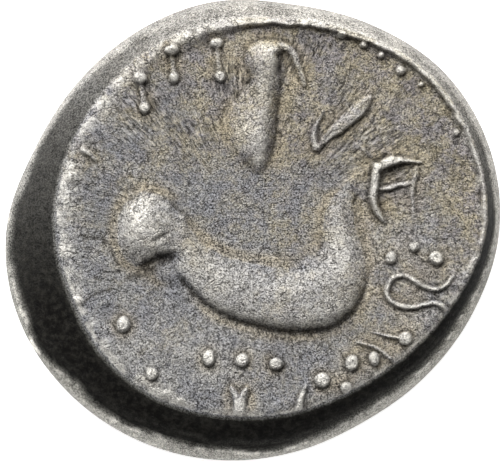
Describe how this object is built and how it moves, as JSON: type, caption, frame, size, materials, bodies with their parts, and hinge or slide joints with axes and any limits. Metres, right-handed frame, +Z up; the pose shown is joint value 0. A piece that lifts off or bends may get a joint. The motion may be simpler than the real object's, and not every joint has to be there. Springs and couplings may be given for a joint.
{
  "type": "ancient silver coin",
  "caption": "Thick hand-struck ancient silver coin with a stylised horse and rider in relief, lying on its domed obverse.",
  "frame": {"origin": "middle of the coin's outline, on the surface that it lies on", "axes": "+Z up, out of the horse side; +X to the right of the horse side; +Y to its top"},
  "size_m": [0.0246, 0.023, 0.0043],
  "materials": {
    "silver": "old silver, grey patina, rubbed bright on the relief"
  },
  "bodies": {
    "root": {"coin": "silver"}
  },
  "joints": []
}
